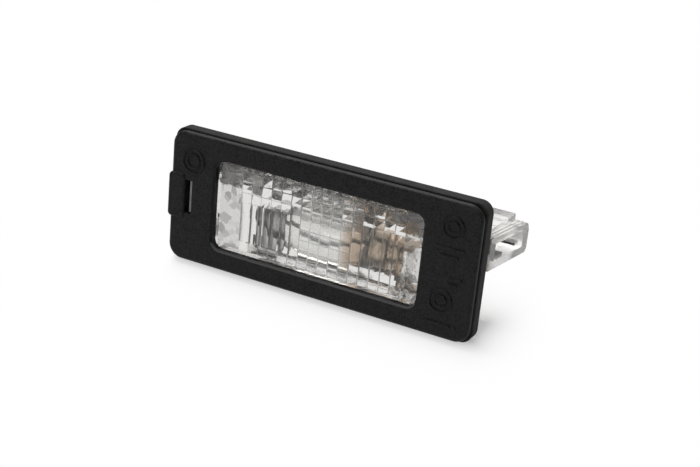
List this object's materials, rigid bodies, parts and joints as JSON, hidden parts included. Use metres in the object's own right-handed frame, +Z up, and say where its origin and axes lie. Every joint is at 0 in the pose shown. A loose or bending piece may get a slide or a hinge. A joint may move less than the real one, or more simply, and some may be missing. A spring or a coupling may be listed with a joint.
{
  "type": "number plate lamp",
  "caption": "Flat rectangular number plate lamp: black bezel, clear prism lens housing with a side connector, festoon bulb, seal and retaining spring.",
  "frame": {"origin": "centre of the seating plane, where the seal's back face meets the panel", "axes": "+X along the lamp towards the connector, +Y from the lens to the back, into the panel, +Z up"},
  "size_m": [0.0727, 0.0293, 0.0298],
  "materials": {
    "black_plastic": "fine moulded grain",
    "seal_rubber": "matte",
    "clear_plastic": "clear, polished",
    "contact_brass": "stamped sheet",
    "spring_steel": "rolled sheet",
    "bulb_glass": "clear",
    "cap_metal": "drawn sheet",
    "solder": "soft grey",
    "filament_wire": "drawn wire"
  },
  "bodies": {
    "root": {"bezel": "black_plastic", "panel_seal": "seal_rubber", "lens_housing": "clear_plastic", "contact_long": "contact_brass", "contact_short": "contact_brass", "retaining_spring": "spring_steel", "bulb_glass": "bulb_glass", "bulb_cap_left": "cap_metal", "bulb_cap_right": "cap_metal", "solder_tips": "solder", "filament": "filament_wire", "lead_wires": "filament_wire"}
  },
  "joints": []
}
